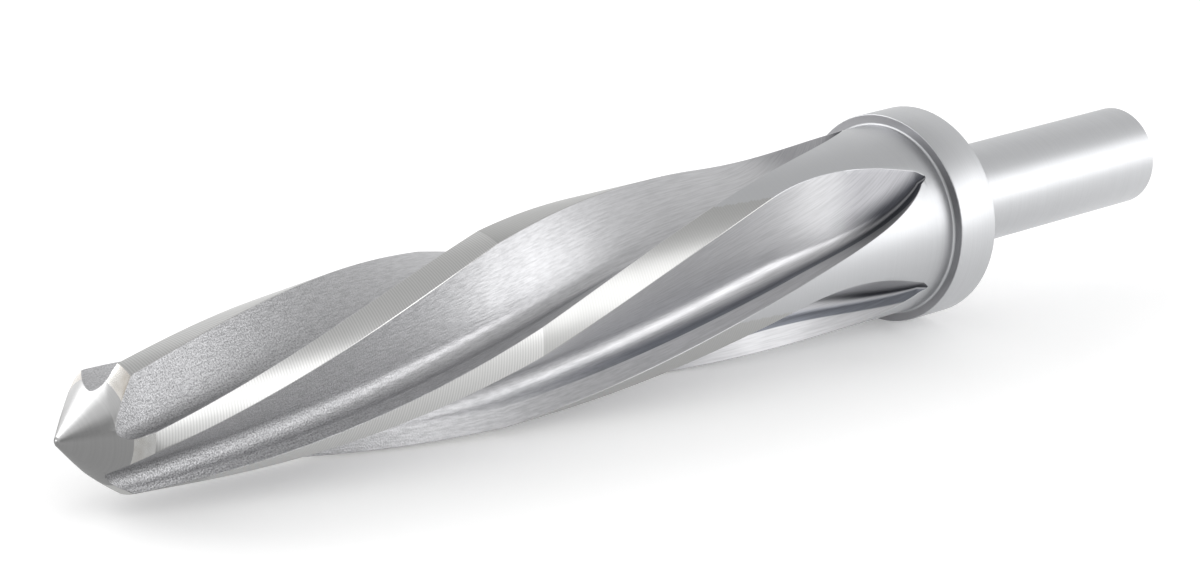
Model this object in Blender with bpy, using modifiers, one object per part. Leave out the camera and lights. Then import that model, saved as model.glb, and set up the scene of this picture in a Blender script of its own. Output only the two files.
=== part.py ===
"""Aligning reamer: a one-piece high-speed-steel reamer with five left-hand spiral flutes.

The tool is modelled upright on its own axis, with the point at the origin and +Z towards the shank.
The fluted body is a loft whose vertices run along the cutting edges, heels and gullets of the flutes.
The collar and the shank are turned. The finished tool then lies on its side as it would come to rest,
on the rim of its collar and on its lands, with the point towards -X.
"""

import cmath
import math

import bmesh
import bpy
from mathutils import Matrix, Vector

MM = 0.001
DEGREE = math.pi / 180

# Ground blank, lengths along the axis
BODY_LENGTH = 130.175 * MM
COLLAR_LENGTH = 6.35 * MM
SHANK_LENGTH = 41.275 * MM
PARALLEL_LENGTH = 70.45 * MM

# Ground blank, diameters and half angles
CUTTING_DIAMETER = 23.812 * MM
FRONT_DIAMETER = 14.89 * MM
COLLAR_DIAMETER = 26.5 * MM
SHANK_DIAMETER = 12.7 * MM
CENTRE_DIAMETER = 0.6 * MM
POINT_DIAMETER = 6.8 * MM
SHOULDER_DIAMETER = 11.9 * MM
POINT_HALF_ANGLE = 45 * DEGREE
SHOULDER_HALF_ANGLE = 43.5 * DEGREE
LEAD_HALF_ANGLE = 40 * DEGREE

# Small edges
NECK_FILLET = 0.3 * MM
COLLAR_CHAMFER = 0.15 * MM
SHANK_FILLET = 0.6 * MM
SHANK_CHAMFER = 0.8 * MM

# Flutes, each size on the parallel part and at the front of the lands
FLUTE_COUNT = 5
FLUTE_DEPTH = 5.69 * MM
FRONT_FLUTE_DEPTH = 2.63 * MM
GULLET_RADIUS = 2.31 * MM
FRONT_GULLET_RADIUS = 1.54 * MM
LAND_WIDTH = 3.35 * MM
FRONT_LAND_WIDTH = 2.27 * MM
RAKE_LEAN = 12 * DEGREE
FRONT_RAKE_LEAN = -2.5 * DEGREE
LEAD_AT_POINT = 224.5 * MM
LEAD_AT_COLLAR = 337 * MM

# Relief behind the cutting edges, on the lands and on the lead
LAND_RELIEF = 0.12 * MM
LEAD_RELIEF = 0.2 * MM
RELIEF_FADE = 10 * MM

# Run-out of the flutes before the collar, where the round cutter leaves the blank
CUTTER_DIAMETER = 109 * MM
RUN_OUT_CLEARANCE = 3.86 * MM
RUN_OUT_LEAN = 8 * DEGREE
RUN_OUT_CORNER_RADIUS = 0.4 * MM

# How the tool lies: the side that is underneath, counted from a cutting edge at the collar
UNDERSIDE = 115 * DEGREE
STEEPEST_REST = 20 * DEGREE
SAME_HEIGHT = 0.01 * MM

# Fineness of the loft and of the turned end
FRONT_RINGS = 6
TAPER_RINGS = 17
PARALLEL_RINGS = 14
RUN_OUT_RINGS = 12
FILLET_STEPS = 4
FLANK_STEPS = 4
GULLET_STEPS = 6
FACE_STEPS = 2
LAND_STEPS = 3
WIDE_LAND_STEPS = 12
TURNED_STEPS = FLUTE_COUNT * WIDE_LAND_STEPS
CLOSEST_POINTS = 0.15 * MM

# Worked out from the sizes above
CUTTING_RADIUS = CUTTING_DIAMETER / 2
FRONT_RADIUS = FRONT_DIAMETER / 2
COLLAR_RADIUS = COLLAR_DIAMETER / 2
SHANK_RADIUS = SHANK_DIAMETER / 2
CENTRE_RADIUS = CENTRE_DIAMETER / 2
POINT_RADIUS = POINT_DIAMETER / 2
SHOULDER_RADIUS = SHOULDER_DIAMETER / 2
CUTTER_RADIUS = CUTTER_DIAMETER / 2
PITCH = 2 * math.pi / FLUTE_COUNT
LAST_PLACE = 3
POINT_END = (POINT_RADIUS - CENTRE_RADIUS) / math.tan(POINT_HALF_ANGLE)
SHOULDER_END = POINT_END + (SHOULDER_RADIUS - POINT_RADIUS) / math.tan(SHOULDER_HALF_ANGLE)
LANDS_START = SHOULDER_END + (FRONT_RADIUS - SHOULDER_RADIUS) / math.tan(LEAD_HALF_ANGLE)
PARALLEL_START = BODY_LENGTH - PARALLEL_LENGTH
RUN_OUT_LENGTH = math.sqrt(2 * CUTTER_RADIUS * FLUTE_DEPTH - FLUTE_DEPTH**2)
RUN_OUT_START = BODY_LENGTH - RUN_OUT_CLEARANCE - RUN_OUT_LENGTH
COLLAR_END = BODY_LENGTH + COLLAR_LENGTH
SHANK_END = COLLAR_END + SHANK_LENGTH


def blend(low, high, share):
    """Value at a share of the way from low to high."""
    return low + (high - low) * share


def limited(value, low, high):
    """Value kept between low and high."""
    return max(low, min(high, value))


def turning_point(is_past, low, high):
    """Value between low and high from which a test holds, found by halving."""
    for _ in range(40):
        middle = (low + high) / 2
        if is_past(middle):
            high = middle
        else:
            low = middle
    return high


def tapered(front_size, full_size, z):
    """Size that grows evenly from the front of the lands to the start of the parallel part."""
    share = min((z - LANDS_START) / (PARALLEL_START - LANDS_START), 1)
    return blend(front_size, full_size, share)


def land_radius(z):
    """Radius of the cutting edges along their taper and their parallel part."""
    return tapered(FRONT_RADIUS, CUTTING_RADIUS, z)


def blank_radius(z, across=0):
    """Radius of the ground blank, at a share of the way across a land from its cutting edge.

    The point, the shoulder and the lead are cones, and the smallest radius is the one that shows.
    The lead and the land drop behind the cutting edge. That relief fades out before the run-out.
    """
    point = CENTRE_RADIUS + z * math.tan(POINT_HALF_ANGLE)
    shoulder = POINT_RADIUS + (z - POINT_END) * math.tan(SHOULDER_HALF_ANGLE)
    lead = SHOULDER_RADIUS + (z - SHOULDER_END) * math.tan(LEAD_HALF_ANGLE) - LEAD_RELIEF * across
    fade = limited((RUN_OUT_START - z) / RELIEF_FADE, 0, 1)
    return min(point, shoulder, lead, land_radius(z) - LAND_RELIEF * fade * across)


def cutting_edge_angle(z):
    """Angle of a cutting edge, which is 0 at the collar. It grows towards the point: a left-hand spiral."""
    turn_at_collar = 2 * math.pi / LEAD_AT_COLLAR
    turn_at_point = 2 * math.pi / LEAD_AT_POINT
    back = BODY_LENGTH - z
    gain = (turn_at_point - turn_at_collar) / BODY_LENGTH
    return turn_at_collar * back + gain * back**2 / 2


class FluteSection:
    """Section of one flute at a height: a straight flank, a round gullet and a straight rake face.

    Its points are complex numbers, with the cutting edge on the real axis and the axis of the tool at 0.
    A place along it is a number: 0 at the heel, 1 at the end of the flank, 2 where the rake face starts
    and 3 at the cutting edge. Before the collar the section lifts out of the blank and its corner sharpens.
    """

    def __init__(self, z):
        edge_radius = land_radius(z)
        lean = tapered(FRONT_RAKE_LEAN, RAKE_LEAN, z)
        land = tapered(FRONT_LAND_WIDTH, LAND_WIDTH, z) / edge_radius
        root = edge_radius - tapered(FRONT_FLUTE_DEPTH, FLUTE_DEPTH, z)
        self.gullet = tapered(FRONT_GULLET_RADIUS, GULLET_RADIUS, z)

        self.edge = complex(edge_radius)
        down_face = -cmath.rect(1, lean)
        beside = self.edge + cmath.rect(self.gullet, lean - math.pi / 2)
        inwards = (beside * down_face.conjugate()).real
        face_length = -inwards - math.sqrt(inwards**2 - abs(beside) ** 2 + (root + self.gullet) ** 2)
        self.centre = beside + face_length * down_face
        self.face_start = self.edge + face_length * down_face

        self.heel = cmath.rect(edge_radius, land - PITCH)
        to_centre = self.centre - self.heel
        flank_length = math.sqrt(abs(to_centre) ** 2 - self.gullet**2)
        flank_angle = cmath.phase(to_centre) + math.asin(self.gullet / abs(to_centre))
        self.flank_end = self.heel + cmath.rect(flank_length, flank_angle)
        self.flank_end_angle = flank_angle + math.pi / 2
        self.face_start_angle = lean + math.pi / 2

        past = limited(z - RUN_OUT_START, 0, CUTTER_RADIUS)
        lift = CUTTER_RADIUS - math.sqrt(CUTTER_RADIUS**2 - past**2)
        self.shift = cmath.rect(lift, cmath.phase(self.centre) + RUN_OUT_LEAN)
        self.sharpen(blend(1, RUN_OUT_CORNER_RADIUS / self.gullet, min(past / RUN_OUT_LENGTH, 1)))

        root_angle = cmath.phase(self.centre + self.shift) + math.pi
        turn = (self.flank_end_angle - root_angle) / (self.flank_end_angle - self.face_start_angle)
        self.root_place = 1 + limited(turn, 0, 1)
        self.root = abs(self.point(self.root_place))

    def sharpen(self, share):
        """Shrinks the gullet to a share of its radius, and leaves the lines of its flank and face."""
        to_flank = self.flank_end - self.centre
        to_face = self.face_start - self.centre
        reach = self.gullet**2 / (self.gullet**2 + (to_flank * to_face.conjugate()).real)
        corner = self.centre + reach * (to_flank + to_face)
        self.centre = blend(corner, self.centre, share)
        self.flank_end = blend(corner, self.flank_end, share)
        self.face_start = blend(corner, self.face_start, share)
        self.gullet *= share

    def point(self, place):
        """Point at a place along the section."""
        if place <= 1:
            return self.shift + blend(self.heel, self.flank_end, place)
        if place <= 2:
            angle = blend(self.flank_end_angle, self.face_start_angle, place - 1)
            return self.shift + self.centre + cmath.rect(self.gullet, angle)
        return self.shift + blend(self.face_start, self.edge, place - 2)

    def heel_place(self, radius):
        """Place where the flank comes up to a radius."""
        return turning_point(lambda place: abs(self.point(place)) < radius, 0, self.root_place)

    def edge_place(self, radius):
        """Place where the rake face comes up to a radius."""
        return turning_point(lambda place: abs(self.point(place)) > radius, self.root_place, LAST_PLACE)


def is_fluted(z):
    """Whether the flutes reach into the blank at a height."""
    return FluteSection(z).root < blank_radius(z)


FLUTES_START = turning_point(is_fluted, 0, LANDS_START)
FLUTES_END = turning_point(lambda z: not is_fluted(z), RUN_OUT_START, BODY_LENGTH)


def flute_places(section, heel, edge):
    """Places of a section's inner points, between its two edges and not too close to either."""
    places = [step / FLANK_STEPS for step in range(1, FLANK_STEPS)]
    places += [1 + step / GULLET_STEPS for step in range(GULLET_STEPS)]
    places += [2 + step / FACE_STEPS for step in range(FACE_STEPS)]
    ends = [section.point(heel), section.point(edge)]
    for place in places:
        clear = min(abs(section.point(place) - end) for end in ends) > CLOSEST_POINTS
        if heel < place < edge and clear:
            yield place


def body_section(z, land_steps):
    """Points round the body at one height, each with a mark that says where on a flute or land it lies.

    Marks go up by one round each flute and its land. The flute takes the first half and the land the
    second. Each point is a mark, an angle and a radius. Where a flute has no depth it is a single point.
    """
    fluted_z = limited(z, FLUTES_START, FLUTES_END)
    section = FluteSection(fluted_z)
    first_edge = cutting_edge_angle(fluted_z)
    heel = section.root_place
    edge = section.root_place
    inner = []
    if FLUTES_START < z < FLUTES_END:
        heel = section.heel_place(blank_radius(z, 1))
        edge = section.edge_place(blank_radius(z))
        inner = list(flute_places(section, heel, edge))
    heel_angle = cmath.phase(section.point(heel))
    edge_angle = cmath.phase(section.point(edge))
    points = []
    for flute in range(FLUTE_COUNT):
        turn = first_edge + flute * PITCH
        if edge > heel:
            points.append((flute, turn + heel_angle, blank_radius(z, 1)))
        for place in inner:
            point = section.point(place)
            points.append((flute + place / LAST_PLACE / 2, turn + cmath.phase(point), abs(point)))
        for step in range(land_steps):
            across = step / land_steps
            angle = turn + blend(edge_angle, heel_angle + PITCH, across)
            points.append((flute + (1 + across) / 2, angle, blank_radius(z, across)))
    return points


def span(start, end, steps, power=1):
    """Heights from start up to, but not including, end. A power over 1 crowds them towards start."""
    return [blend(start, end, (step / steps) ** power) for step in range(steps)]


def body_rings():
    """Heights of the body's rings from the point to the neck, each with the steps across a land."""
    wide = [0, POINT_END] + span(FLUTES_START, LANDS_START, FRONT_RINGS, 1.5)
    wide.append((SHOULDER_END + LANDS_START) / 2)
    narrow = span(LANDS_START, PARALLEL_START, TAPER_RINGS)
    narrow += span(PARALLEL_START, RUN_OUT_START, PARALLEL_RINGS)
    run_out = [RUN_OUT_START] + span(FLUTES_END, RUN_OUT_START, RUN_OUT_RINGS, 2)
    rings = [(z, WIDE_LAND_STEPS) for z in sorted(set(wide))]
    rings += [(z, LAND_STEPS) for z in narrow]
    rings += [(z, WIDE_LAND_STEPS) for z in sorted(run_out)]
    return rings


def neck_points():
    """Radius and height round the fillet between the neck and the collar's front face."""
    for step in range(FILLET_STEPS + 1):
        angle = step / FILLET_STEPS * math.pi / 2
        radius = CUTTING_RADIUS + NECK_FILLET * (1 - math.cos(angle))
        yield radius, BODY_LENGTH - NECK_FILLET * (1 - math.sin(angle))


def add_ring(mesh, z, points):
    """Adds a ring of vertices, and gives each with its mark."""
    ring = []
    for mark, angle, radius in points:
        ring.append((mark, mesh.verts.new((radius * math.cos(angle), radius * math.sin(angle), z))))
    return ring


def join_rings(mesh, lower, upper):
    """Fills the strip between two rings, stepping round both in the order of their marks."""
    lower = lower + [(lower[0][0] + FLUTE_COUNT, lower[0][1])]
    upper = upper + [(upper[0][0] + FLUTE_COUNT, upper[0][1])]
    low, high = 0, 0
    while low < len(lower) - 1 or high < len(upper) - 1:
        next_low = lower[low + 1][0] if low < len(lower) - 1 else math.inf
        next_high = upper[high + 1][0] if high < len(upper) - 1 else math.inf
        corners = [upper[high][1], lower[low][1]]
        same = abs(next_low - next_high) < 1e-6
        if same or next_low < next_high:
            low += 1
            corners.append(lower[low][1])
        if same or next_high < next_low:
            high += 1
            corners.append(upper[high][1])
        mesh.faces.new(corners)


def fluted_body():
    """The cones, the fluted body and the neck, closed at both ends. It ends inside the collar."""
    mesh = bmesh.new()
    rings = [add_ring(mesh, z, body_section(z, steps)) for z, steps in body_rings()]
    neck = body_section(FLUTES_END, WIDE_LAND_STEPS)
    for radius, z in neck_points():
        rings.append(add_ring(mesh, z, [(mark, angle, radius) for mark, angle, _ in neck]))
    inside = [(mark, angle, CUTTING_RADIUS + NECK_FILLET) for mark, angle, _ in neck]
    rings.append(add_ring(mesh, BODY_LENGTH + COLLAR_LENGTH / 2, inside))
    for lower, upper in zip(rings, rings[1:]):
        join_rings(mesh, lower, upper)
    mesh.faces.new([vertex for _, vertex in reversed(rings[0])])
    mesh.faces.new([vertex for _, vertex in rings[-1]])
    bmesh.ops.recalc_face_normals(mesh, faces=mesh.faces[:])
    data = bpy.data.meshes.new("fluted body")
    mesh.to_mesh(data)
    mesh.free()
    return data


def turned_profile():
    """Half outline of the shank and the collar, from the axis at the top down to the axis at the bottom."""
    yield 0, SHANK_END
    yield SHANK_RADIUS - SHANK_CHAMFER, SHANK_END
    yield SHANK_RADIUS, SHANK_END - SHANK_CHAMFER
    for step in range(FILLET_STEPS + 1):
        angle = step / FILLET_STEPS * math.pi / 2
        radius = SHANK_RADIUS + SHANK_FILLET * (1 - math.cos(angle))
        yield radius, COLLAR_END + SHANK_FILLET * (1 - math.sin(angle))
    yield COLLAR_RADIUS - COLLAR_CHAMFER, COLLAR_END
    yield COLLAR_RADIUS, COLLAR_END - COLLAR_CHAMFER
    yield COLLAR_RADIUS, BODY_LENGTH + COLLAR_CHAMFER
    yield COLLAR_RADIUS - COLLAR_CHAMFER, BODY_LENGTH
    yield 0, BODY_LENGTH


def turned_end():
    """The collar and the shank as an outline, which the Screw modifier turns."""
    points = [(radius, 0, z) for radius, z in turned_profile()]
    data = bpy.data.meshes.new("collar and shank")
    data.from_pydata(points, [(index, index + 1) for index in range(len(points) - 1)], [])
    return data


def ground_steel():
    """Bright ground high-speed steel."""
    material = bpy.data.materials.new("ground high-speed steel")
    material.use_nodes = True
    shader = material.node_tree.nodes["Principled BSDF"]
    shader.inputs["Base Color"].default_value = (0.56, 0.56, 0.55, 1)
    shader.inputs["Metallic"].default_value = 1
    shader.inputs["Roughness"].default_value = 0.3
    return material


def new_collection(name):
    """A new collection in the scene."""
    collection = bpy.data.collections.new(name)
    bpy.context.scene.collection.children.link(collection)
    return collection


def centre_of_mass(data):
    """Centre of mass of a closed mesh, summed over a tetrahedron under each triangle."""
    data.calc_loop_triangles()
    total = 0
    moment = Vector()
    for triangle in data.loop_triangles:
        one, two, three = (data.vertices[index].co for index in triangle.vertices)
        volume = one.dot(two.cross(three))
        total += volume
        moment += volume * (one + two + three) / 4
    return moment / total


def stands_over(centre, corners, normal):
    """Whether the centre of mass is straight over a face of the hull, so that the tool rests on it."""
    ends = corners[1:] + corners[:1]
    return all(normal.dot((end - start).cross(centre - start)) >= 0 for start, end in zip(corners, ends))


def resting_turn(data):
    """The turn that lays the tool on the hull face where it is lowest, with its axis along X.

    Each flute gives one such face, and the face that is nearest to the named underside is taken.
    """
    centre = centre_of_mass(data)
    hull = bmesh.new()
    for vertex in data.vertices:
        hull.verts.new(vertex.co)
    bmesh.ops.convex_hull(hull, input=hull.verts[:])
    hull.normal_update()
    rests = []
    for face in hull.faces:
        corners = [vertex.co for vertex in face.verts]
        if abs(face.normal.z) < math.sin(STEEPEST_REST) and stands_over(centre, corners, face.normal):
            rests.append((face.normal.dot(corners[0] - centre), face.normal.copy()))
    hull.free()
    lowest = min(height for height, _ in rests)
    wanted = Vector((math.cos(UNDERSIDE), math.sin(UNDERSIDE), 0))
    down = max((normal for height, normal in rests if height < lowest + SAME_HEIGHT), key=wanted.dot)
    along = (Vector((0, 0, 1)) - down * down.z).normalized()
    return Matrix((along, along.cross(down), -down)).to_4x4()


def build():
    """Makes the tool and lays it on the floor with its middle over the origin."""
    for thing in list(bpy.data.objects):
        bpy.data.objects.remove(thing)
    parts = new_collection("Aligning reamer")
    helpers = new_collection("Helpers")

    resting_place = bpy.data.objects.new("resting_place", None)
    parts.objects.link(resting_place)

    end = bpy.data.objects.new("collar_and_shank", turned_end())
    end.hide_render = True
    end.display_type = "WIRE"
    end.parent = resting_place
    helpers.objects.link(end)
    turning = end.modifiers.new("turning", "SCREW")
    turning.steps = TURNED_STEPS
    turning.render_steps = TURNED_STEPS
    turning.use_merge_vertices = True
    turning.merge_threshold = 0.01 * MM

    reamer = bpy.data.objects.new("aligning_reamer", fluted_body())
    reamer.data.materials.append(ground_steel())
    reamer.parent = resting_place
    parts.objects.link(reamer)
    joining = reamer.modifiers.new("collar and shank", "BOOLEAN")
    joining.operation = "UNION"
    joining.solver = "EXACT"
    joining.object = end

    finished = reamer.evaluated_get(bpy.context.evaluated_depsgraph_get()).to_mesh()
    turn = resting_turn(finished)
    corners = [turn @ vertex.co for vertex in finished.vertices]
    middle = [(max(axis) + min(axis)) / 2 for axis in zip(*corners)]
    lowest = min(corner.z for corner in corners)
    resting_place.matrix_world = Matrix.Translation((-middle[0], -middle[1], -lowest)) @ turn


build()
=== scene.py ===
"""Looks of the aligning reamer: one finely modelled tool that stands for the plain CAD node.

The tool is modelled upright on its own axis, with the point at the origin and +Z towards the shank,
and is then laid down as it rests on the rim of its collar and on its lands. All sizes are in metres.
"""

import cmath
import logging
import math
from collections.abc import Callable
from dataclasses import dataclass, field
from enum import Enum
from statistics import fmean
from typing import TypeVar

import bmesh
import bpy
from bmesh.types import BMesh, BMFace, BMVert
from bpy.types import NodeSocket, NodeTree
from mathutils import Euler, Matrix, Vector


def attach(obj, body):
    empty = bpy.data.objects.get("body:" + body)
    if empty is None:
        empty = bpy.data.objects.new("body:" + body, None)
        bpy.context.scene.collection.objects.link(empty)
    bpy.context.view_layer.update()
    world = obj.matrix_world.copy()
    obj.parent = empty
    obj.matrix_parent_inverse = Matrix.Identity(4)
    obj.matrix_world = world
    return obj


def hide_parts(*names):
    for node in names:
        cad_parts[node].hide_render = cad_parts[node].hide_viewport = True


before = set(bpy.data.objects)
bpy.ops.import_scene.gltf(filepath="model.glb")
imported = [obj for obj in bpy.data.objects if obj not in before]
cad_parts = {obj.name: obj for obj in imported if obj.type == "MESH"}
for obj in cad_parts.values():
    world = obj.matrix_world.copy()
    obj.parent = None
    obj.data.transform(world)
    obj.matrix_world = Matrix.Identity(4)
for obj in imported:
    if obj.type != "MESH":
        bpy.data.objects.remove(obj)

MM = 0.001
DEGREE = math.pi / 180
LOG = logging.getLogger("aligning_reamer")
HALVINGS = 40
Number = TypeVar("Number", float, complex)

# UV maps: millimetres across and along the surface, and the place round a flute with the height.
SURFACE_MAP = "surface"
PLACE_MAP = "place"

# Places round a flute and its land. They start from 0 at the flute's heel.
FLANK_END = 1
FACE_START = 2
CUTTING_EDGE = 3
NEXT_HEEL = 4

# What a texture repeats over at a scale of 1: the bands of a wave exactly, and noise roughly.
WAVE_PERIOD = math.pi / 10
NOISE_PERIOD = 0.6

# Values of a pattern between which a mark fades out, and the wide clouds change the steel.
MARK_RANGE = (0.32, 0.62)
CLOUD_RANGE = (0.3, 0.7)
CLOUD_TINT_RANGE = (0.45, 0.75)
ROUGHNESS_SPREAD = 0.05


class Zone(Enum):
    """The surfaces of the tool that are finished in different ways, in the order of its material slots."""

    FLUTE = 0
    TAPER_LAND = 1
    PARALLEL_LAND = 2
    LEAD = 3
    CONE = 4
    NECK = 5
    COLLAR_FACE = 6
    SHANK = 7


def blend(low: Number, high: Number, share: float) -> Number:
    """Returns the number at a share of the way from low to high."""
    return low + (high - low) * share


def limited(value: float, low: float, high: float) -> float:
    """Returns the value kept between low and high."""
    return max(low, min(high, value))


def turning_point(is_past: Callable[[float], bool], low: float, high: float) -> float:
    """Finds by halving where a test starts to hold.

    Args:
        is_past: A test of one number that fails at low and holds at high.
        low: A number before the change.
        high: A number past the change.

    Returns:
        The number from which the test holds.
    """
    for _ in range(HALVINGS):
        middle = (low + high) / 2
        if is_past(middle):
            high = middle
        else:
            low = middle
    return high


def linear_colour(colour: str) -> tuple[float, float, float, float]:
    """Turns an sRGB hex colour into the linear one that a shader takes.

    Args:
        colour: Six hex digits after a #.

    Returns:
        Red, green, blue and alpha.
    """
    channels = [int(colour[start : start + 2], 16) / 255 for start in (1, 3, 5)]
    linear = [c / 12.92 if c <= 0.04045 else ((c + 0.055) / 1.055) ** 2.4 for c in channels]
    return (*linear, 1.0)


def add_node(
    tree: NodeTree, kind: str, settings: dict[str, object] | None = None, **inputs: object
) -> bpy.types.Node:
    """Adds one node, with its settings, values and links.

    Args:
        tree: The tree that the node goes into.
        kind: The node's type.
        settings: Values of the node's own properties.
        inputs: A value or an output socket for each named input, with _ for a space. A name of the
            form in0 stands for the input of that number.

    Returns:
        The new node.
    """
    node = tree.nodes.new(kind)
    for name, value in (settings or {}).items():
        setattr(node, name, value)
    for name, value in inputs.items():
        numbered = name.startswith("in") and name[2:].isdigit()
        socket = node.inputs[int(name[2:])] if numbered else node.inputs[name.replace("_", " ")]
        if isinstance(value, NodeSocket):
            tree.links.new(value, socket)
        else:
            socket.default_value = value
    return node


def empty_tree(owner: bpy.types.Material | bpy.types.World) -> NodeTree:
    """Gives a material or a world an empty tree of nodes, and returns it."""
    owner.use_nodes = True
    owner.node_tree.nodes.clear()
    return owner.node_tree


def add_object(name: str, data: bpy.types.ID | BMesh) -> bpy.types.Object:
    """Adds an object with its data, or with a mesh in the making, which is finished and freed."""
    if isinstance(data, BMesh):
        mesh, data = data, bpy.data.meshes.new(name)
        mesh.to_mesh(data)
        mesh.free()
    made = bpy.data.objects.new(name, data)
    bpy.context.scene.collection.objects.link(made)
    return made


@dataclass(frozen=True)
class ReamerSizes:
    """The driving sizes of the tool, the same as those of its CAD solid."""

    body_length: float = 130.175 * MM
    collar_length: float = 6.35 * MM
    shank_length: float = 41.275 * MM
    parallel_length: float = 70.45 * MM
    cutting_diameter: float = 23.812 * MM
    front_diameter: float = 14.89 * MM
    collar_diameter: float = 26.5 * MM
    shank_diameter: float = 12.7 * MM
    centre_diameter: float = 0.6 * MM
    point_diameter: float = 6.8 * MM
    shoulder_diameter: float = 11.9 * MM
    point_half_angle: float = 45 * DEGREE
    shoulder_half_angle: float = 43.5 * DEGREE
    lead_half_angle: float = 40 * DEGREE
    neck_fillet: float = 0.3 * MM
    collar_chamfer: float = 0.15 * MM
    shank_fillet: float = 0.6 * MM
    shank_chamfer: float = 0.8 * MM
    flute_count: int = 5
    flute_depth: float = 5.69 * MM
    front_flute_depth: float = 2.63 * MM
    gullet_radius: float = 2.31 * MM
    front_gullet_radius: float = 1.54 * MM
    land_width: float = 3.35 * MM
    front_land_width: float = 2.27 * MM
    rake_lean: float = 0 * DEGREE
    front_rake_lean: float = -2.5 * DEGREE
    run_out_rake_lean: float = 12 * DEGREE
    undercut_share: float = 0.07
    hook_depth_share: float = 0.9
    hook_gullet_share: float = 0.82
    lead_at_point: float = 224.5 * MM
    lead_at_collar: float = 337 * MM
    land_relief: float = 0.12 * MM
    lead_relief: float = 0.2 * MM
    relief_fade: float = 10 * MM
    cutter_diameter: float = 109 * MM
    run_out_clearance: float = 3.86 * MM
    run_out_lean: float = 8 * DEGREE
    run_out_corner: float = 0.4 * MM

    @property
    def pitch(self) -> float:
        """Angle from one cutting edge to the next."""
        return 2 * math.pi / self.flute_count

    @property
    def point_end(self) -> float:
        """Height where the point cone ends."""
        return (self.point_diameter - self.centre_diameter) / 2 / math.tan(self.point_half_angle)

    @property
    def shoulder_end(self) -> float:
        """Height where the shoulder cone ends."""
        rise = (self.shoulder_diameter - self.point_diameter) / 2
        return self.point_end + rise / math.tan(self.shoulder_half_angle)

    @property
    def lands_start(self) -> float:
        """Height where the lead ends and the lands start."""
        rise = (self.front_diameter - self.shoulder_diameter) / 2
        return self.shoulder_end + rise / math.tan(self.lead_half_angle)

    @property
    def parallel_start(self) -> float:
        """Height where the parallel part starts."""
        return self.body_length - self.parallel_length

    @property
    def run_out_start(self) -> float:
        """Height where the cutter starts to leave the blank."""
        chord = math.sqrt(self.cutter_diameter * self.flute_depth - self.flute_depth**2)
        return self.body_length - self.run_out_clearance - chord

    @property
    def collar_end(self) -> float:
        """Height of the collar's back face."""
        return self.body_length + self.collar_length

    @property
    def shank_end(self) -> float:
        """Height of the shank's end."""
        return self.collar_end + self.shank_length

    def tapered(self, front_size: float, full_size: float, height: float) -> float:
        """Returns a size that grows evenly, from its front value at the lands' start, to its full one."""
        share = min((height - self.lands_start) / (self.parallel_start - self.lands_start), 1)
        return blend(front_size, full_size, share)

    def land_radius(self, height: float) -> float:
        """Returns the radius of the cutting edges along their taper and their parallel part."""
        return self.tapered(self.front_diameter, self.cutting_diameter, height) / 2

    def blank_radius(self, height: float, across: float = 0) -> float:
        """Works out the radius of the ground blank.

        Args:
            height: Height along the axis.
            across: Share of the way across a land, from its cutting edge to the heel behind it.

        Returns:
            The smallest of the cones' radii and the land's, each with its relief.
        """
        point = self.centre_diameter / 2 + height * math.tan(self.point_half_angle)
        shoulder = self.point_diameter / 2 + (height - self.point_end) * math.tan(self.shoulder_half_angle)
        lead = self.shoulder_diameter / 2 + (height - self.shoulder_end) * math.tan(self.lead_half_angle)
        fade = limited((self.run_out_start - height) / self.relief_fade, 0, 1)
        land = self.land_radius(height) - self.land_relief * fade * across
        return min(point, shoulder, lead - self.lead_relief * across, land)

    def cutting_edge_angle(self, height: float) -> float:
        """Returns the angle of a cutting edge, which is 0 at the collar and grows towards the point."""
        turn_at_collar = 2 * math.pi / self.lead_at_collar
        turn_at_point = 2 * math.pi / self.lead_at_point
        back = self.body_length - height
        gain = (turn_at_point - turn_at_collar) / self.body_length
        return turn_at_collar * back + gain * back**2 / 2


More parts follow.
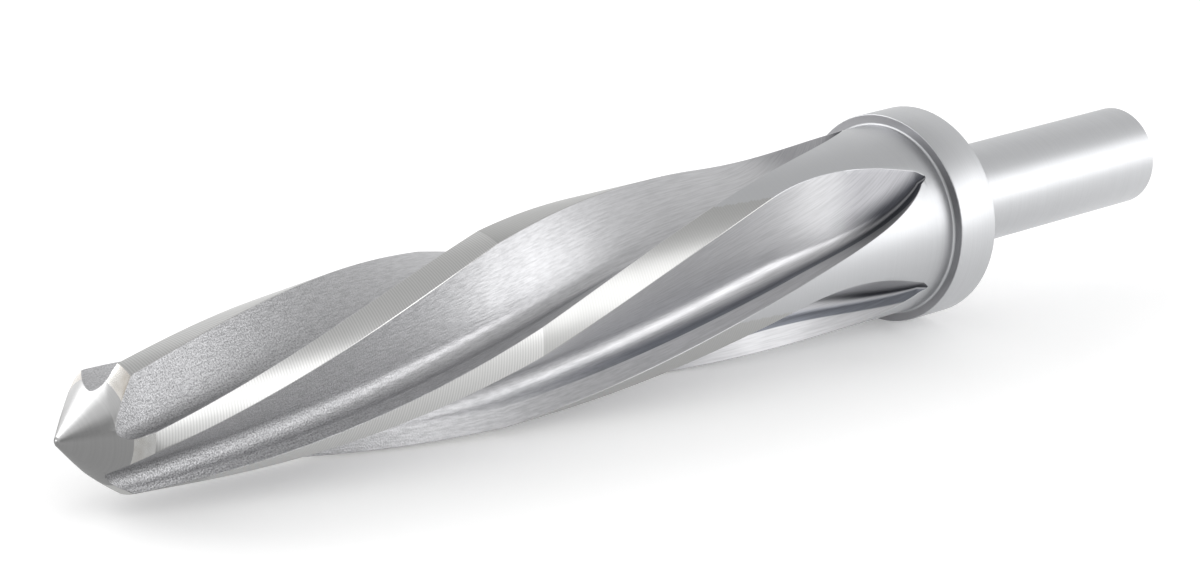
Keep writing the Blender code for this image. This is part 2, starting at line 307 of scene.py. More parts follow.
class FluteSection:
    """Section of one flute at a height: a straight flank, a round gullet and a straight rake face.

    Its points are complex numbers, with the cutting edge on the real axis and the axis of the tool at 0.
    A place along it is a number: 0 at the heel, then FLANK_END, FACE_START and CUTTING_EDGE. Before the
    collar the whole section lifts out and its corner sharpens.
    """

    def __init__(self, sizes: ReamerSizes, height: float) -> None:
        """Works out the section.

        Args:
            sizes: The tool's sizes.
            height: Height along the axis.
        """
        cutter_radius = sizes.cutter_diameter / 2
        past = limited(height - sizes.run_out_start, 0, cutter_radius)
        run_out = sizes.body_length - sizes.run_out_clearance - sizes.run_out_start
        out = limited(past / run_out, 0, 1)

        edge_radius = sizes.land_radius(height)
        lean = sizes.tapered(sizes.front_rake_lean, sizes.rake_lean, height)
        lean = blend(lean, sizes.run_out_rake_lean, out**2)
        undercut = sizes.undercut_share * (1 - out**2)
        hook = sizes.tapered(0, 1, height) * (1 - out**2)
        land = sizes.tapered(sizes.front_land_width, sizes.land_width, height) / edge_radius
        depth = sizes.tapered(sizes.front_flute_depth, sizes.flute_depth, height)
        root = edge_radius - depth * blend(1, sizes.hook_depth_share, hook)
        gullet = sizes.tapered(sizes.front_gullet_radius, sizes.gullet_radius, height)
        self.gullet = gullet * blend(1, sizes.hook_gullet_share, hook)

        self.edge = complex(edge_radius)
        down_face = -cmath.rect(1, lean)
        beside = self.edge + cmath.rect(self.gullet * (1 - undercut), lean - math.pi / 2)
        inwards = (beside * down_face.conjugate()).real
        face_length = -inwards - math.sqrt(inwards**2 - abs(beside) ** 2 + (root + self.gullet) ** 2)
        undercut_turn = math.acos(1 - undercut)
        self.centre = beside + face_length * down_face
        self.face_start = self.edge + (face_length - self.gullet * math.sin(undercut_turn)) * down_face

        self.heel = cmath.rect(edge_radius, land - sizes.pitch)
        to_centre = self.centre - self.heel
        flank_length = math.sqrt(abs(to_centre) ** 2 - self.gullet**2)
        flank_angle = cmath.phase(to_centre) + math.asin(self.gullet / abs(to_centre))
        self.flank_end = self.heel + cmath.rect(flank_length, flank_angle)
        self.flank_end_angle = flank_angle + math.pi / 2
        self.face_start_angle = lean + math.pi / 2 - undercut_turn

        lift = cutter_radius - math.sqrt(cutter_radius**2 - past**2)
        self.shift = cmath.rect(lift, cmath.phase(self.centre) + sizes.run_out_lean)
        self._sharpen(blend(1, sizes.run_out_corner / self.gullet, out))

        root_angle = cmath.phase(self.centre + self.shift) + math.pi
        turn = (self.flank_end_angle - root_angle) / (self.flank_end_angle - self.face_start_angle)
        self.root_place = FLANK_END + limited(turn, 0, 1)
        self.root = abs(self.point(self.root_place))

    def _sharpen(self, share: float) -> None:
        """Shrinks the gullet to a share of its radius, with its flank and its rake face as they are."""
        to_flank = self.flank_end - self.centre
        to_face = self.face_start - self.centre
        reach = self.gullet**2 / (self.gullet**2 + (to_flank * to_face.conjugate()).real)
        corner = self.centre + reach * (to_flank + to_face)
        self.centre = blend(corner, self.centre, share)
        self.flank_end = blend(corner, self.flank_end, share)
        self.face_start = blend(corner, self.face_start, share)
        self.gullet *= share

    def point(self, place: float) -> complex:
        """Returns the point at a place along the section."""
        if place <= FLANK_END:
            return self.shift + blend(self.heel, self.flank_end, place)
        if place <= FACE_START:
            angle = blend(self.flank_end_angle, self.face_start_angle, place - FLANK_END)
            return self.shift + self.centre + cmath.rect(self.gullet, angle)
        return self.shift + blend(self.face_start, self.edge, place - FACE_START)

    def heel_place(self, radius: float) -> float:
        """Returns the place where the flank comes up to a radius."""
        return turning_point(lambda place: abs(self.point(place)) < radius, 0, self.root_place)

    def edge_place(self, radius: float) -> float:
        """Returns the place where the rake face comes up to a radius."""
        return turning_point(lambda place: abs(self.point(place)) > radius, self.root_place, CUTTING_EDGE)


@dataclass
class SheetPoint:
    """One point of the sheet that is wrapped round the tool."""

    radius: float
    angle: float
    height: float
    place: float
    across: float = 0.0
    along: float = 0.0

    def distance(self, other: "SheetPoint") -> float:
        """Returns the straight distance to another point."""
        flat = cmath.rect(self.radius, self.angle) - cmath.rect(other.radius, other.angle)
        return math.hypot(abs(flat), self.height - other.height)


@dataclass
class FlutedBody:
    """The cones, the fluted body and the neck, made from a sheet for one flute and one land."""

    sizes: ReamerSizes
    flank_steps: int = 12
    gullet_steps: int = 14
    face_steps: int = 8
    land_steps: int = 15
    edge_break: float = 0.06 * MM
    largest_break: float = 1 / 6
    tip_rows: int = 4
    point_rows: int = 14
    shoulder_rows: int = 5
    front_rows: int = 26
    taper_rows: int = 110
    parallel_rows: int = 84
    run_out_rows: int = 64
    neck_rows: int = 5
    fillet_rows: int = 8
    front_crowding: float = 1.8
    run_out_crowding: float = 1.9
    tip_round: float = 0.25 * MM
    pattern_shift: tuple[float, float] = (43.0, 17.0)
    flutes_start: float = field(init=False)
    flutes_end: float = field(init=False)

    def __post_init__(self) -> None:
        """Finds where the flutes come into the blank and leave it."""
        sizes = self.sizes
        self.flutes_start = turning_point(self.is_fluted, 0, sizes.lands_start)
        self.flutes_end = turning_point(
            lambda height: not self.is_fluted(height), sizes.run_out_start, sizes.body_length
        )

    def is_fluted(self, height: float) -> bool:
        """Returns whether the flutes reach into the blank at a height."""
        return FluteSection(self.sizes, height).root < self.sizes.blank_radius(height)

    @property
    def columns(self) -> int:
        """Columns of the sheet: the flute, its two broken edges and the land."""
        return self.flank_steps + self.gullet_steps + self.face_steps + self.land_steps + 2

    def rows(self) -> list[tuple[float, float | None]]:
        """Lists the sheet's rows from the point to the collar.

        Returns:
            The height of each, and its radius where the blank's own isn't taken.
        """
        sizes = self.sizes
        rows: list[tuple[float, float | None]] = []
        small = sizes.centre_diameter / 2
        for step in range(self.tip_rows):
            turn = step / self.tip_rows * math.pi / 2
            rows.append(((1 - math.cos(turn)) * self.tip_round, small * math.sin(turn)))
        heights = self._spread(self.tip_round, sizes.point_end, self.point_rows)
        heights += self._spread(sizes.point_end, self.flutes_start, self.shoulder_rows)
        heights += self._spread(self.flutes_start, sizes.lands_start, self.front_rows, self.front_crowding)
        heights += [sizes.shoulder_end]
        heights += self._spread(sizes.lands_start, sizes.parallel_start, self.taper_rows)
        heights += self._spread(sizes.parallel_start, sizes.run_out_start, self.parallel_rows)
        heights += self._spread(
            self.flutes_end, sizes.run_out_start, self.run_out_rows, self.run_out_crowding
        )
        heights += [sizes.run_out_start]
        heights += self._spread(self.flutes_end, sizes.body_length - sizes.neck_fillet, self.neck_rows)
        rows += [(height, None) for height in sorted(set(heights))]
        for step in range(self.fillet_rows + 1):
            turn = step / self.fillet_rows * math.pi / 2
            height = sizes.body_length - sizes.neck_fillet * (1 - math.sin(turn))
            rows.append((height, sizes.cutting_diameter / 2 + sizes.neck_fillet * (1 - math.cos(turn))))
        return rows

    @staticmethod
    def _spread(start: float, end: float, steps: int, power: float = 1) -> list[float]:
        """Returns heights from start up to end, without it. A power over 1 crowds them towards start."""
        return [blend(start, end, (step / steps) ** power) for step in range(steps)]

    def section_points(self, height: float, radius: float | None) -> list[SheetPoint]:
        """Works out the sheet's points at one height.

        Args:
            height: Height along the axis.
            radius: Radius of the row, or None where the blank's own is taken.

        Returns:
            Points from the heel over the gullet to the cutting edge, and on over the land.
        """
        sizes = self.sizes
        fluted = limited(height, self.flutes_start, self.flutes_end)
        section = FluteSection(sizes, fluted)
        turn = sizes.cutting_edge_angle(fluted)
        heel = edge = section.root_place
        if self.flutes_start < height < self.flutes_end:
            heel = section.heel_place(sizes.blank_radius(height, 1))
            edge = section.edge_place(sizes.blank_radius(height))
        opening = abs(section.point(edge) - section.point(heel))
        broken = min(self.edge_break, opening * self.largest_break)
        flank = abs(section.flank_end - section.heel)
        face = abs(section.edge - section.face_start)
        first = min(heel + broken / flank, FLANK_END) if heel < FLANK_END else heel
        last = max(edge - broken / face, FACE_START) if edge > FACE_START else edge
        gullet_start, gullet_end = max(first, FLANK_END), min(last, FACE_START)
        parts = (
            (first, gullet_start, self.flank_steps),
            (gullet_start, gullet_end, self.gullet_steps),
            (gullet_end, last, self.face_steps),
        )
        places = [blend(start, end, step / steps) for start, end, steps in parts for step in range(steps)]
        sheet = []
        for place in (*places, last):
            point = section.point(place)
            sheet.append(SheetPoint(abs(point), turn + cmath.phase(point), height, place))
        if edge <= heel:
            for point in sheet:
                point.radius = sizes.blank_radius(height)
        edge_angle = turn + cmath.phase(section.point(edge))
        heel_angle = turn + cmath.phase(section.point(heel)) + sizes.pitch
        margin = broken / sizes.blank_radius(height)
        for step in range(self.land_steps + 1):
            across = step / self.land_steps
            angle = blend(edge_angle + margin, heel_angle - margin, across)
            place = CUTTING_EDGE + across
            sheet.append(SheetPoint(sizes.blank_radius(height, across), angle, height, place))
        sheet.append(SheetPoint(sheet[0].radius, sheet[0].angle + sizes.pitch, height, NEXT_HEEL))
        if radius is not None:
            for point in sheet:
                point.radius = radius
        return sheet

    def zone(self, height: float, place: float) -> Zone:
        """Names the finish of a spot on the sheet.

        Args:
            height: Height of the spot.
            place: Its place round the flute and the land.

        Returns:
            The zone that it belongs to.
        """
        sizes = self.sizes
        if height < self.flutes_start or (place > CUTTING_EDGE and height < sizes.shoulder_end):
            return Zone.CONE
        if height > self.flutes_end:
            return Zone.NECK
        if place < CUTTING_EDGE:
            return Zone.FLUTE
        if height < sizes.lands_start:
            return Zone.LEAD
        if height < sizes.parallel_start:
            return Zone.TAPER_LAND
        fade = (sizes.run_out_start - height) / sizes.relief_fade
        return Zone.NECK if fade < NEXT_HEEL - place else Zone.PARALLEL_LAND

    def add_to(self, mesh: BMesh) -> None:
        """Makes the sheet for one flute and its land, and repeats it round the axis.

        Args:
            mesh: The mesh that the body goes into.
        """
        sheet = [self.section_points(height, radius) for height, radius in self.rows()]
        self._measure(sheet)
        mesh.loops.layers.uv.new(SURFACE_MAP)
        mesh.loops.layers.uv.new(PLACE_MAP)
        self._wrap(mesh, sheet)
        self._repeat(mesh)

    def _measure(self, sheet: list[list[SheetPoint]]) -> None:
        """Measures how far each point lies along the cutting edge, and across from it."""
        edge = self.columns - self.land_steps - 1
        for before, row in zip([sheet[0]] + sheet, sheet):
            for point in row:
                point.along = before[edge].along + before[edge].distance(row[edge])
            for last, point in zip(row, row[1:]):
                point.across = last.across + last.distance(point)
            centre = row[edge].across
            for point in row:
                point.across -= centre

    def _wrap(self, mesh: BMesh, sheet: list[list[SheetPoint]]) -> None:
        """Makes a grid, and wraps it round the axis to the points of the sheet.

        Args:
            mesh: The mesh that the grid goes into.
            sheet: The rows of points.
        """
        surface = mesh.loops.layers.uv[SURFACE_MAP]
        places = mesh.loops.layers.uv[PLACE_MAP]
        last_row = len(sheet) - 1
        made = bmesh.ops.create_grid(mesh, x_segments=self.columns, y_segments=last_row, size=0.5)
        spots: dict[BMVert, SheetPoint] = {}
        for vertex in made["verts"]:
            column = round((vertex.co.x + 0.5) * self.columns)
            spots[vertex] = sheet[round((vertex.co.y + 0.5) * last_row)][column]
        for face in mesh.faces:
            corners = [spots[loop.vert] for loop in face.loops]
            height = fmean(corner.height for corner in corners)
            place = fmean(corner.place for corner in corners)
            face.material_index = self.zone(height, place).value
            face.smooth = True
            for loop, corner in zip(face.loops, corners):
                loop[surface].uv = (corner.across / MM, corner.along / MM)
                loop[places].uv = (corner.place / NEXT_HEEL, corner.height / self.sizes.body_length)
        for vertex, point in spots.items():
            flat = cmath.rect(point.radius, point.angle)
            vertex.co = (flat.real, flat.imag, point.height)

    def _repeat(self, mesh: BMesh) -> None:
        """Repeats the first flute round the axis, each with another stretch of the patterns."""
        surface = mesh.loops.layers.uv[SURFACE_MAP]
        first = list(mesh.verts) + list(mesh.edges) + list(mesh.faces)
        for flute in range(1, self.sizes.flute_count):
            copy = bmesh.ops.duplicate(mesh, geom=first)["geom"]
            turned = [part for part in copy if isinstance(part, BMVert)]
            turn = Matrix.Rotation(flute * self.sizes.pitch, 4, "Z")
            bmesh.ops.transform(mesh, matrix=turn, verts=turned)
            for part in copy:
                if isinstance(part, BMFace):
                    for loop in part.loops:
                        loop[surface].uv += Vector(self.pattern_shift) * flute


@dataclass
class TurnedEnd:
    """The collar and the shank, spun from their half outline."""

    sizes: ReamerSizes
    start_angle: float
    steps: int
    bead_rows: int = 4
    shank_rows: int = 6
    face_margin: float = 0.02 * MM

    def outline(self) -> list[tuple[float, float, Zone]]:
        """Lists the half outline from the neck's fillet to the middle of the shank's end.

        Returns:
            The radius and height of each point, and the zone of the surface that it starts.
        """
        sizes = self.sizes
        collar, shank = sizes.collar_diameter / 2, sizes.shank_diameter / 2
        front, back, end = sizes.body_length, sizes.collar_end, sizes.shank_end
        points = [(sizes.cutting_diameter / 2 + sizes.neck_fillet, front, Zone.COLLAR_FACE)]
        points += self._rounded(collar, front, sizes.collar_chamfer, -90)
        points += self._rounded(collar, back, sizes.collar_chamfer, 0)
        points[-1] = (*points[-1][:2], Zone.COLLAR_FACE)
        for step in range(self.bead_rows * 2 + 1):
            turn = step / self.bead_rows / 2 * math.pi / 2
            radius = shank + sizes.shank_fillet * (1 - math.sin(turn))
            points.append((radius, back + sizes.shank_fillet * (1 - math.cos(turn)), Zone.SHANK))
        for step in range(1, self.shank_rows + 1):
            height = blend(back + sizes.shank_fillet, end - sizes.shank_chamfer, step / self.shank_rows)
            points.append((shank, height, Zone.SHANK))
        points.append((shank - sizes.shank_chamfer, end, Zone.SHANK))
        points.append((0.0, end, Zone.SHANK))
        return points

    def _rounded(
        self, radius: float, height: float, size: float, start: float
    ) -> list[tuple[float, float, Zone]]:
        """Rounds a rim of the collar.

        Args:
            radius: Radius of the sharp rim.
            height: Height of the sharp rim.
            size: Radius of the rounding.
            start: Angle in degrees at which the rounding starts, from straight out.

        Returns:
            Points round the rim, from front to back.
        """
        inwards = size if start < 0 else -size
        points = []
        for step in range(self.bead_rows + 1):
            turn = (start + 90 * step / self.bead_rows) * DEGREE
            out = radius - size + size * math.cos(turn)
            points.append((out, height + inwards + size * math.sin(turn), Zone.SHANK))
        return points

    def add_to(self, mesh: BMesh) -> None:
        """Spins the outline round the axis.

        Args:
            mesh: The mesh that the collar and the shank go into.
        """
        surface = mesh.loops.layers.uv[SURFACE_MAP]
        places = mesh.loops.layers.uv[PLACE_MAP]
        points = self.outline()
        start = cmath.rect(1, self.start_angle)
        verts = [mesh.verts.new((radius * start.real, radius * start.imag, z)) for radius, z, _ in points]
        edges = [mesh.edges.new(pair) for pair in zip(verts, verts[1:])]
        before = set(mesh.faces)
        bmesh.ops.spin(
            mesh, geom=verts + edges, axis=(0, 0, 1), angle=2 * math.pi, steps=self.steps, use_merge=True
        )
        for face in set(mesh.faces) - before:
            middle = face.calc_center_median()
            radius = math.hypot(middle.x, middle.y)
            face.smooth = True
            face.material_index = self._zone(radius, middle.z).value
            around = math.atan2(middle.y, middle.x)
            for loop in face.loops:
                spot = loop.vert.co
                turn = math.atan2(spot.y, spot.x) - around
                turn = math.remainder(turn, 2 * math.pi) + around
                out = math.hypot(spot.x, spot.y)
                loop[surface].uv = (turn * self.sizes.collar_diameter / 2 / MM, (spot.z - out) / MM)
                loop[places].uv = (turn / 2 / math.pi, spot.z / self.sizes.body_length)

    def _zone(self, radius: float, height: float) -> Zone:
        """Returns the zone of a face by the place of its middle."""
        sizes = self.sizes
        to_face = min(abs(height - sizes.body_length), abs(height - sizes.collar_end))
        faced = to_face < self.face_margin
        return Zone.COLLAR_FACE if faced and radius > sizes.shank_diameter / 2 else Zone.SHANK


class Run(Enum):
    """The way in which the fine marks of a finish run, as the scale across a flute and along it."""

    ALONG = (1.0, 0.04)
    DASHES = (1.0, 0.16)
    ACROSS = (0.04, 1.0)
    LINES = (0.08, 1.0)
    RINGS = (0.008, 1.0)
    EVEN = (1.0, 1.0)


@dataclass(frozen=True)
class Marks:
    """Fine marks that a tool or a wheel leaves.

    Spacing and depth are in millimetres, and shade is the share of the colour that the deepest mark
    takes away. The marks come in between the heights start and full, as shares of the body's length.
    """

    run: Run
    spacing: float
    depth: float
    shade: float
    start: float = -1.0
    full: float = -0.5

    def pattern(self, tree: NodeTree, surface: NodeSocket) -> NodeSocket:
        """Adds the pattern of the marks.

        Args:
            tree: The material's tree.
            surface: The place on the surface in millimetres, across and along.

        Returns:
            A value round a half.
        """
        drawn = add_node(tree, "ShaderNodeMapping", in0=surface, Scale=(*self.run.value, 1.0))
        if self.run is Run.LINES:
            lines = add_node(
                tree, "ShaderNodeTexWave", {"bands_direction": "Y"}, Vector=drawn.outputs["Vector"],
                Scale=WAVE_PERIOD / self.spacing, Distortion=1.2, Detail=2.0, Detail_Scale=1.5,
            )
            return lines.outputs["Fac"]
        noise = add_node(
            tree, "ShaderNodeTexNoise", {"noise_dimensions": "2D"},
            Vector=drawn.outputs["Vector"], Scale=NOISE_PERIOD / self.spacing, Detail=2.0, Roughness=0.6,
        )
        return noise.outputs["Fac"]

    def strength(self, tree: NodeTree, height: NodeSocket) -> NodeSocket:
        """Adds how strong the marks are, by the share of the body's length.

        Args:
            tree: The material's tree.
            height: The height as a share of the body's length.

        Returns:
            A value from 0 to 1.
        """
        fade = add_node(
            tree, "ShaderNodeMapRange", {"interpolation_type": "SMOOTHSTEP"},
            Value=height, From_Min=self.start, From_Max=self.full,
        )
        return fade.outputs["Result"]


@dataclass(frozen=True)
class ToneAndShade:
    """A stretch of a flute with another tone, with soft borders; some of these tones are painted shade.

    Its places are where it starts, is full, starts to fade and ends. It comes in between its heights.
    """

    colour: str
    places: tuple[float, float, float, float]
    heights: tuple[float, float]

    def lay_over(
        self, tree: NodeTree, base: NodeSocket, place: NodeSocket, height: NodeSocket
    ) -> NodeSocket:
        """Mixes the stretch's tone over a colour.

        Args:
            tree: The material's tree.
            base: The colour underneath.
            place: The place round the flute and its land, as a share of NEXT_HEEL.
            height: The height as a share of the body's length.

        Returns:
            The colour with the stretch's tone.
        """
        start, full, fading, end = (border / NEXT_HEEL for border in self.places)
        shown: float | NodeSocket = 1.0
        for value, low, high in ((place, start, full), (place, end, fading), (height, *self.heights)):
            edge = add_node(
                tree, "ShaderNodeMapRange", {"interpolation_type": "SMOOTHSTEP"},
                Value=value, From_Min=low, From_Max=high,
            )
            shown = add_node(
                tree, "ShaderNodeMath", {"operation": "MULTIPLY"}, in0=edge.outputs["Result"], in1=shown,
            ).outputs[0]
        mixed = add_node(
            tree, "ShaderNodeMix", {"data_type": "RGBA"}, in0=shown, in6=base, in7=linear_colour(self.colour),
        )
        return mixed.outputs[2]


@dataclass(frozen=True)
class SteelFinish:
    """High-speed steel with one kind of machined surface."""

    name: str
    colour: str
    roughness: float
    marks: tuple[Marks, ...]
    cloud_colour: str | None = None
    cloud_size: float = 6.0
    tones_and_shades: tuple[ToneAndShade, ...] = ()

    def make(self) -> bpy.types.Material:
        """Builds the material.

        Returns:
            The new material.
        """
        material = bpy.data.materials.new(self.name)
        tree = empty_tree(material)
        surface = add_node(tree, "ShaderNodeUVMap", {"uv_map": SURFACE_MAP}).outputs["UV"]
        place = add_node(tree, "ShaderNodeUVMap", {"uv_map": PLACE_MAP}).outputs["UV"]
        split = add_node(tree, "ShaderNodeSeparateXYZ", Vector=place)
        base = self._base(tree, surface, split.outputs["X"], split.outputs["Y"])
        base, relief = self._marked(tree, surface, split.outputs["Y"], base)
        bump = add_node(tree, "ShaderNodeBump", Strength=1.0, Distance=MM, Height=relief)
        rough = add_node(
            tree, "ShaderNodeMapRange", Value=self._clouds(tree, surface),
            From_Min=CLOUD_RANGE[0], From_Max=CLOUD_RANGE[1],
            To_Min=self.roughness * (1 - ROUGHNESS_SPREAD), To_Max=self.roughness * (1 + ROUGHNESS_SPREAD),
        )
        shader = add_node(
            tree, "ShaderNodeBsdfPrincipled",
            Base_Color=base, Metallic=1.0, Roughness=rough.outputs["Result"], Normal=bump.outputs["Normal"],
        )
        add_node(tree, "ShaderNodeOutputMaterial", Surface=shader.outputs["BSDF"])
        return material

    def _marked(
        self, tree: NodeTree, surface: NodeSocket, height: NodeSocket, base: NodeSocket
    ) -> tuple[NodeSocket, NodeSocket]:
        """Adds the fine marks, which darken the colour and stand in low relief.

        Args:
            tree: The material's tree.
            surface: The place on the surface in millimetres.
            height: The height as a share of the body's length.
            base: The colour underneath.

        Returns:
            The colour with the marks, and their relief in millimetres.
        """
        relief: float | NodeSocket = 0.0
        for marks in self.marks:
            pattern = marks.pattern(tree, surface)
            strength = marks.strength(tree, height)
            level = add_node(
                tree, "ShaderNodeMapRange", Value=pattern, From_Min=MARK_RANGE[0], From_Max=MARK_RANGE[1],
                To_Min=1 - marks.shade, To_Max=1.0,
            )
            shown = add_node(
                tree, "ShaderNodeMix", {"data_type": "FLOAT"},
                in0=strength, in2=1.0, in3=level.outputs["Result"],
            )
            base = add_node(
                tree, "ShaderNodeVectorMath", {"operation": "SCALE"}, in0=base, Scale=shown.outputs[0],
            ).outputs["Vector"]
            step = add_node(tree, "ShaderNodeMath", {"operation": "MULTIPLY"}, in0=pattern, in1=marks.depth)
            relief = add_node(
                tree, "ShaderNodeMath", {"operation": "MULTIPLY_ADD"},
                in0=step.outputs[0], in1=strength, in2=relief,
            ).outputs[0]
        return base, relief

    def _clouds(self, tree: NodeTree, surface: NodeSocket) -> NodeSocket:
        """Adds a wide, soft pattern that varies the finish, and returns its value."""
        noise = add_node(
            tree, "ShaderNodeTexNoise", {"noise_dimensions": "2D"},
            Vector=surface, Scale=1 / self.cloud_size, Detail=3.0, Roughness=0.55,
        )
        return noise.outputs["Fac"]

    def _base(
        self, tree: NodeTree, surface: NodeSocket, place: NodeSocket, height: NodeSocket
    ) -> NodeSocket:
        """Adds the steel's own colour, before its fine marks.

        Args:
            tree: The material's tree.
            surface: The place on the surface in millimetres.
            place: The place round the flute and its land, as a share of NEXT_HEEL.
            height: The height as a share of the body's length.

        Returns:
            The colour.
        """
        plain = add_node(tree, "ShaderNodeRGB")
        plain.outputs[0].default_value = linear_colour(self.colour)
        base = plain.outputs[0]
        for tone_and_shade in self.tones_and_shades:
            base = tone_and_shade.lay_over(tree, base, place, height)
        if self.cloud_colour is None:
            return base
        soft = add_node(
            tree, "ShaderNodeMapRange", Value=self._clouds(tree, surface),
            From_Min=CLOUD_TINT_RANGE[0], From_Max=CLOUD_TINT_RANGE[1],
        )
        tint = add_node(
            tree, "ShaderNodeMix", {"data_type": "RGBA"},
            in0=soft.outputs["Result"], in6=base, in7=linear_colour(self.cloud_colour),
        )
        return tint.outputs[2]


# The marks are too fine to show at their real spacing in a picture of the whole tool, so each kind is
# drawn as coarse as it needs to show.
FINISHES = {
    # Milled with a form cutter: a dull grey, pitted near the point and streaked towards the neck. Its
    # tones are the ground strip of the rake face, a blue-grey painted shade in the gullet, a darker flank
    # of the run-out and a near-black painted shade in the run-out's corner. Their places and tones were set
    # one by one.
    Zone.FLUTE: SteelFinish(
        "milled high-speed steel", "#C4C4C6", 0.44,
        (
            Marks(Run.EVEN, 0.13, 0.075, 0.42, start=0.5, full=0.15),
            Marks(Run.DASHES, 0.16, 0.02, 0.18, start=0.85, full=0.35),
            Marks(Run.ALONG, 0.14, 0.008, 0.14, start=0.2, full=0.7),
        ),
        tones_and_shades=(
            ToneAndShade("#BEBEC0", (2.14, 2.18, 4.0, 4.1), (-1.0, 0.0)),
            # Painted shade: a blue-grey darkening in the gullet, just below the rake strip.
            ToneAndShade("#74777E", (1.45, 1.95, 2.14, 2.18), (0.38, 0.65)),
            # Darker on the flank of the run-out.
            ToneAndShade("#9C9C9F", (-1.0, 0.0, 0.8, 1.1), (0.84, 0.91)),
            # Painted shade: a near-black darkening in the corner of the run-out, where the flank meets the
            # gullet.
            ToneAndShade("#46474C", (0.7, 1.0, 1.3, 1.8), (0.86, 0.93)),
        ),
    ),
    # Ground across on the taper: near-white, with fine lines across the land.
    Zone.TAPER_LAND: SteelFinish(
        "cross-ground high-speed steel", "#C9C9C8", 0.36, (Marks(Run.LINES, 0.4, 0.002, 0.15),),
    ),
    # Cylindrically ground on the parallel part: smooth and a little darker.
    Zone.PARALLEL_LAND: SteelFinish(
        "cylindrically ground high-speed steel", "#B1B1B0", 0.35, (Marks(Run.LINES, 0.45, 0.0008, 0.07),),
    ),
    # Ground lead behind each cutting edge: bright and almost plain, with a faint warm tint.
    Zone.LEAD: SteelFinish(
        "ground lead high-speed steel", "#F6F6F4", 0.26, (Marks(Run.ACROSS, 0.5, 0.002, 0.05),),
        cloud_colour="#CFC8BF",
    ),
    # Turned cones: satin, with faint rings round the point.
    Zone.CONE: SteelFinish(
        "turned high-speed steel", "#C0C0C0", 0.34, (Marks(Run.RINGS, 0.15, 0.001, 0.05),),
    ),
    # Polished neck: satin, with faint marks round the tool.
    Zone.NECK: SteelFinish(
        "polished high-speed steel", "#B9BABC", 0.4, (Marks(Run.RINGS, 0.12, 0.0006, 0.03),),
    ),
    # Faced collar: a darker grey, which is painted shade for the dark reflection of its faces, with fine
    # rings from the facing tool.
    Zone.COLLAR_FACE: SteelFinish(
        "faced high-speed steel", "#A0A0A3", 0.3, (Marks(Run.RINGS, 0.12, 0.001, 0.05),),
    ),
    # Satin shank: fine marks round it from the polishing belt.
    Zone.SHANK: SteelFinish(
        "satin high-speed steel", "#C0C1C3", 0.4, (Marks(Run.RINGS, 0.12, 0.0006, 0.035),),
    ),
}


@dataclass
class Reamer:
    """The whole tool, which stands for the CAD node and lies as its solid comes to rest.

    tip is where its point lies, rise is how far its axis rises to the shank, and underside is the
    angle round the axis that comes to lie underneath.
    """

    sizes: ReamerSizes = field(default_factory=ReamerSizes)
    tip: Vector = field(default_factory=lambda: Vector((-88.939, 0.0, 9.464)) * MM)
    rise: float = 1.6575 * DEGREE
    underside: float = 122.312 * DEGREE
    crease: float = 24 * DEGREE
    merge_distance: float = 0.002 * MM
    sliver: float = 0.0005 * MM

    @property
    def placement(self) -> Matrix:
        """The turn and the move that lay the tool on the floor, with its axis rising to the shank."""
        roll = Matrix.Rotation(-self.underside, 4, "Z")
        lay_down = Matrix.Rotation(math.pi / 2 - self.rise, 4, "Y")
        return Matrix.Translation(self.tip) @ lay_down @ roll

    def build(self) -> bpy.types.Object:
        """Models the tool, lays it down and dresses it.

        Returns:
            The finished piece.
        """
        body = FlutedBody(self.sizes)
        mesh = bmesh.new()
        body.add_to(mesh)
        neck = body.section_points(body.flutes_end, None)
        end = TurnedEnd(self.sizes, neck[-1].angle, self.sizes.flute_count * body.land_steps)
        end.add_to(mesh)
        bmesh.ops.remove_doubles(mesh, verts=mesh.verts[:], dist=self.merge_distance)
        bmesh.ops.dissolve_degenerate(mesh, edges=mesh.edges[:], dist=self.sliver)
        bmesh.ops.recalc_face_normals(mesh, faces=mesh.faces[:])
        for edge in mesh.edges:
            edge.smooth = len(edge.link_faces) == 2 and edge.calc_face_angle() < self.crease
        bmesh.ops.transform(mesh, matrix=self.placement, verts=mesh.verts[:])
        open_edges = sum(1 for edge in mesh.edges if len(edge.link_faces) != 2)
        piece = add_object("reamer", mesh)
        for zone in Zone:
            piece.data.materials.append(FINISHES[zone].make())
        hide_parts("aligning_reamer")
        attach(piece, "root")
        LOG.info("%s: %d faces, %d open edges", piece.name, len(piece.data.polygons), open_edges)
        return piece


@dataclass
class SoftBox:
    """One large soft lamp of the studio, placed by its direction from the tool.

    Its angles are in degrees, and its power is in watts for a square metre at a brightness of 1.
    """

    name: str
    azimuth: float
    elevation: float
    width: float
    height: float
    brightness: float
    power: float = 4.0
    distance: float = 0.8

    def add(self, target: Vector) -> None:
        """Adds the lamp, aimed at its target.

        Args:
            target: The point that the lamp shines at.
        """
        direction = Vector((1.0, 0.0, 0.0))
        direction.rotate(Euler((0.0, -self.elevation * DEGREE, self.azimuth * DEGREE)))
        lamp = bpy.data.lights.new(self.name, "AREA")
        lamp.shape = "RECTANGLE"
        lamp.size = self.width
        lamp.size_y = self.height
        lamp.energy = self.power * self.width * self.height * self.brightness
        made = add_object(self.name, lamp)
        made.location = target + direction * self.distance
        made.rotation_mode = "QUATERNION"
        made.rotation_quaternion = (-direction).to_track_quat("-Z", "Y")
        LOG.info("lamp %s", self.name)


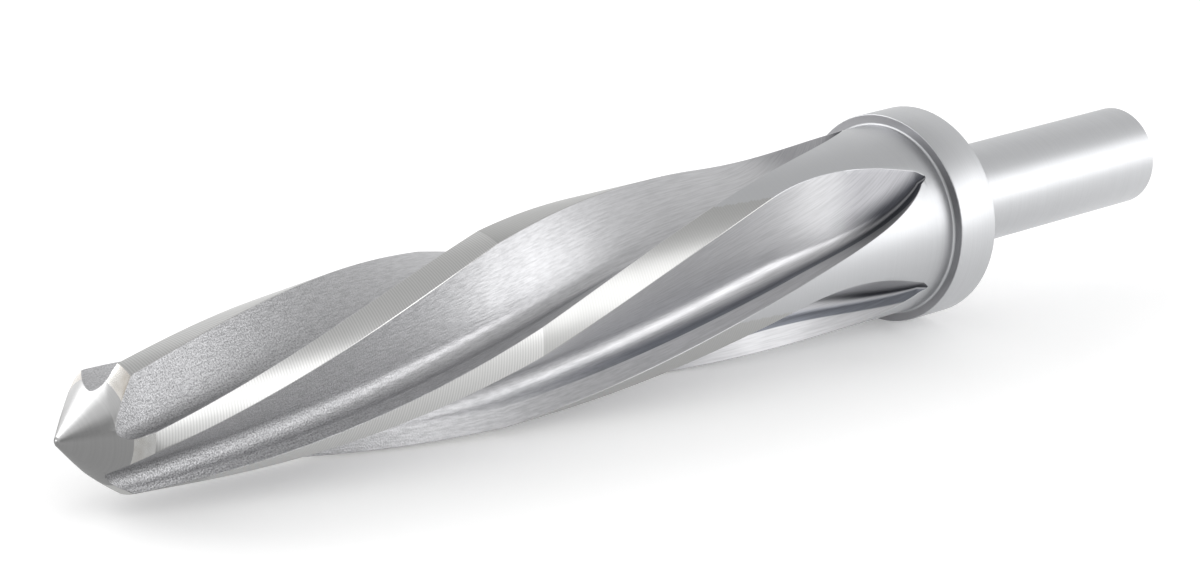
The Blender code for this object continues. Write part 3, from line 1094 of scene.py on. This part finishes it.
@dataclass
class Card:
    """A plain card of the studio, which only the steel's reflections show."""

    name: str
    colour: str
    size: float
    place: tuple[float, float, float]
    faces: tuple[float, float, float]

    def add(self) -> None:
        """Adds the card, turned the way it faces."""
        mesh = bmesh.new()
        bmesh.ops.create_grid(mesh, x_segments=1, y_segments=1, size=self.size / 2)
        turn = Vector(self.faces).to_track_quat("Z", "Y").to_matrix().to_4x4()
        bmesh.ops.transform(mesh, matrix=Matrix.Translation(self.place) @ turn, verts=mesh.verts[:])
        card = add_object(self.name, mesh)
        card.visible_camera = False
        card.visible_diffuse = False
        card.visible_shadow = False
        card.visible_transmission = False
        material = bpy.data.materials.new("plain studio card")
        tree = empty_tree(material)
        glow = add_node(tree, "ShaderNodeEmission", Color=linear_colour(self.colour), Strength=1.0)
        add_node(tree, "ShaderNodeOutputMaterial", Surface=glow.outputs[0])
        card.data.materials.append(material)
        LOG.info("card %s", self.name)


def white_background(tree: NodeTree) -> NodeSocket:
    """Adds a switch that is 1 where the camera, the steel or a clear thing sees the surroundings."""
    path = add_node(tree, "ShaderNodeLightPath")
    direct = add_node(
        tree, "ShaderNodeMath", {"operation": "MAXIMUM"},
        in0=path.outputs["Is Camera Ray"], in1=path.outputs["Is Glossy Ray"],
    )
    either = add_node(
        tree, "ShaderNodeMath", {"operation": "MAXIMUM"},
        in0=direct.outputs[0], in1=path.outputs["Is Transmission Ray"],
    )
    return either.outputs[0]


@dataclass
class Studio:
    """The floor, the white surroundings, the lamps and the camera."""

    camera_place: tuple[float, float, float] = (-0.346049, -0.320282, 0.169018)
    camera_turn: tuple[float, float, float] = (71.35122 * DEGREE, -5.18147 * DEGREE, -44.72993 * DEGREE)
    focal_length: float = 125.275
    target: tuple[float, float, float] = (0.0, 0.0, 0.012)
    floor_size: float = 6.0
    floor_glow: float = 0.2
    soft_surroundings: float = 0.8
    white_surroundings: float = 1.0

    def build(self) -> None:
        """Sets up everything that isn't part of the object."""
        self._add_camera()
        self._add_floor()
        self._add_world()
        for lamp in (
            SoftBox("right softbox", azimuth=-48.0, elevation=17.0, width=0.75, height=0.46, brightness=1.42),
            SoftBox("back softbox", azimuth=120.0, elevation=32.0, width=0.8, height=0.5, brightness=1.6),
        ):
            lamp.add(Vector(self.target))
        for card in (
            Card("front card", "#868686", 0.5, place=(-0.62, -0.29, 0.16), faces=(0.88, 0.42, -0.2)),
            Card("overhead card", "#D6D6D6", 1.25, place=(0.12, -0.1, 0.7), faces=(0.0, 0.0, -1.0)),
            Card("floor card", "#B4B4B4", 0.4, place=(-0.27, 0.0, 0.0006), faces=(0.0, 0.0, 1.0)),
        ):
            card.add()
        view = bpy.context.scene.view_settings
        view.view_transform = "Standard"

    def _add_camera(self) -> None:
        """Adds the camera at the photograph's viewing angle."""
        lens = bpy.data.cameras.new("camera")
        lens.lens = self.focal_length
        lens.sensor_width = 36.0
        lens.clip_start = 0.01
        lens.clip_end = 20.0
        camera = add_object("camera", lens)
        camera.location = self.camera_place
        camera.rotation_euler = self.camera_turn
        bpy.context.scene.camera = camera

    def _add_floor(self) -> None:
        """Adds a plain pale floor that keeps the tool's shadow."""
        mesh = bmesh.new()
        bmesh.ops.create_grid(mesh, x_segments=1, y_segments=1, size=self.floor_size / 2)
        floor = add_object("floor", mesh)
        material = bpy.data.materials.new("pale studio floor")
        tree = empty_tree(material)
        paper = add_node(tree, "ShaderNodeBsdfDiffuse", Color=linear_colour("#F7F7F7"))
        glow = add_node(tree, "ShaderNodeEmission", Color=(1, 1, 1, 1), Strength=self.floor_glow)
        both = add_node(tree, "ShaderNodeAddShader", in0=paper.outputs[0], in1=glow.outputs[0])
        mixed = add_node(
            tree, "ShaderNodeMixShader",
            in0=white_background(tree), in1=paper.outputs[0], in2=both.outputs[0],
        )
        add_node(tree, "ShaderNodeOutputMaterial", Surface=mixed.outputs[0])
        floor.data.materials.append(material)

    def _add_world(self) -> None:
        """Adds soft surroundings, which the camera and the steel see as white."""
        world = bpy.data.worlds.new("studio")
        bpy.context.scene.world = world
        tree = empty_tree(world)
        soft = add_node(tree, "ShaderNodeBackground", Color=(1, 1, 1, 1), Strength=self.soft_surroundings)
        white = add_node(tree, "ShaderNodeBackground", Color=(1, 1, 1, 1), Strength=self.white_surroundings)
        mixed = add_node(
            tree, "ShaderNodeMixShader",
            in0=white_background(tree), in1=soft.outputs[0], in2=white.outputs[0],
        )
        add_node(tree, "ShaderNodeOutputWorld", Surface=mixed.outputs[0])


def main() -> None:
    """Builds the tool and the studio."""
    logging.basicConfig(level=logging.INFO, format="%(name)s: %(message)s")
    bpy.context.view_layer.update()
    Reamer().build()
    Studio().build()


if __name__ == "__main__":
    main()
